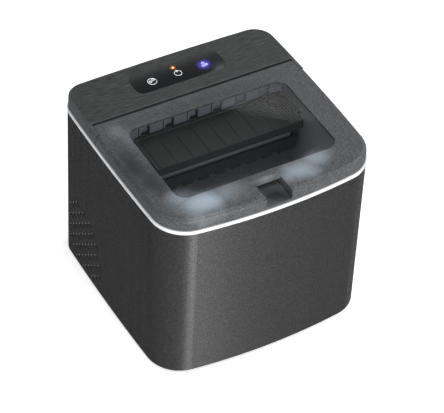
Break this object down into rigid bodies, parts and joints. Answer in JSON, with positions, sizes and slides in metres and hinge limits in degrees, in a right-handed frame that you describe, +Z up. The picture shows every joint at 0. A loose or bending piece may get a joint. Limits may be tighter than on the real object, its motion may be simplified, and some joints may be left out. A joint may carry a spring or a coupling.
{
  "type": "ice maker",
  "caption": "Countertop bullet-ice maker: wrapped body with side vents, windowed hinged lid, rear control deck, lift-out basket, tilting tray under a finger evaporator.",
  "frame": {"origin": "centre of the footprint, on the worktop under the rubber feet", "axes": "+Z up, +X to the right seen from the front, the front faces -Y"},
  "size_m": [0.286, 0.284, 0.25],
  "materials": {
    "body_coat": "satin",
    "rear_plastic": "matte",
    "zinc_steel": "satin",
    "rubber": "matte",
    "silver_trim": "satin",
    "cover_plastic": "satin",
    "grained_deck": "brushed",
    "control_glass": "gloss",
    "circuit_board": "satin",
    "lid_smoke": "frosted",
    "lid_glazing": "gloss",
    "liner_plastic": "satin",
    "foam": "matte",
    "nickel": "satin",
    "dark_plastic": "satin",
    "tray_plastic": "satin",
    "compressor_paint": "gloss",
    "copper": "satin",
    "aluminium": "satin",
    "fan_plastic": "satin",
    "clear_hose": "gloss"
  },
  "bodies": {
    "cabinet": {"base_pan": "rear_plastic", "board_components": "dark_plastic", "board_posts": "tray_plastic", "body_shell": "body_coat", "capillary_line": "copper", "compressor": "compressor_paint", "compressor_mounts": "rubber", "condenser_coil": "copper", "condenser_fins": "aluminium", "control_board": "circuit_board", "control_glass": "control_glass", "cover_screws": "zinc_steel", "deck_plate": "grained_deck", "discharge_line": "copper", "drain_fitting": "liner_plastic", "evaporator": "nickel", "evaporator_cover": "dark_plastic", "fan_motor": "zinc_steel", "fan_shroud": "rear_plastic", "filter_drier": "copper", "foam_insulation": "foam", "hinge_pins": "zinc_steel", "ice_sensors": "dark_plastic", "inner_liner": "liner_plastic", "level_probes": "zinc_steel", "liquid_line": "copper", "main_board": "circuit_board", "motor_screws": "zinc_steel", "panel_screws": "zinc_steel", "power_inlet": "dark_plastic", "probe_holder": "rear_plastic", "pump_housing": "fan_plastic", "pump_motor": "zinc_steel", "rear_comb": "liner_plastic", "rear_panel": "rear_plastic", "rear_struts": "zinc_steel", "rubber_feet": "rubber", "suction_line": "copper", "terminal_cover": "dark_plastic", "top_cover": "cover_plastic", "tray_motor": "zinc_steel", "trim_ring": "silver_trim", "valve_body": "copper", "valve_coil": "dark_plastic", "water_hose": "clear_hose", "water_spout": "tray_plastic"},
    "lid": {"lid_frame": "lid_smoke", "lid_window": "lid_glazing"},
    "water_tray": {"water_tray": "tray_plastic"},
    "ice_shovel": {"ice_shovel": "dark_plastic"},
    "ice_basket": {"ice_basket": "tray_plastic"},
    "fan_rotor": {"fan_rotor": "fan_plastic"},
    "pump_impeller": {"pump_impeller": "fan_plastic"},
    "drain_cap": {"drain_cap": "fan_plastic", "drain_seal": "rubber"}
  },
  "joints": [
    {"name": "lid_hinge", "type": "hinge", "parent": "cabinet", "child": "lid", "pos_m": [0, 0.06, 0.245], "axis": [-1, 0, 0], "range_deg": [0, 95]},
    {"name": "tray_tilt", "type": "hinge", "parent": "cabinet", "child": "water_tray", "pos_m": [0.006, 0.044, 0.18], "axis": [1, 0, 0], "range_deg": [0, 56]},
    {"name": "shovel_sweep", "type": "hinge", "parent": "cabinet", "child": "ice_shovel", "pos_m": [0.006, 0.044, 0.18], "axis": [1, 0, 0], "range_deg": [0, 70]},
    {"name": "basket_lift", "type": "slide", "parent": "cabinet", "child": "ice_basket", "axis": [0, 0, 1], "range_m": [0, 0.08]},
    {"name": "fan_spin", "type": "hinge", "parent": "cabinet", "child": "fan_rotor", "pos_m": [-0.109, 0.068, 0.056], "axis": [1, 0, 0], "continuous": true},
    {"name": "impeller_spin", "type": "hinge", "parent": "cabinet", "child": "pump_impeller", "pos_m": [-0.034, 0.026, 0.03], "axis": [0, 0, 1], "continuous": true},
    {"name": "drain_cap_pull", "type": "slide", "parent": "cabinet", "child": "drain_cap", "axis": [1, 0, 0], "range_m": [0, 0.025]}
  ],
  "couplings": [
    {"joint": "shovel_sweep", "follows": "tray_tilt", "ratio": 1.25}
  ]
}
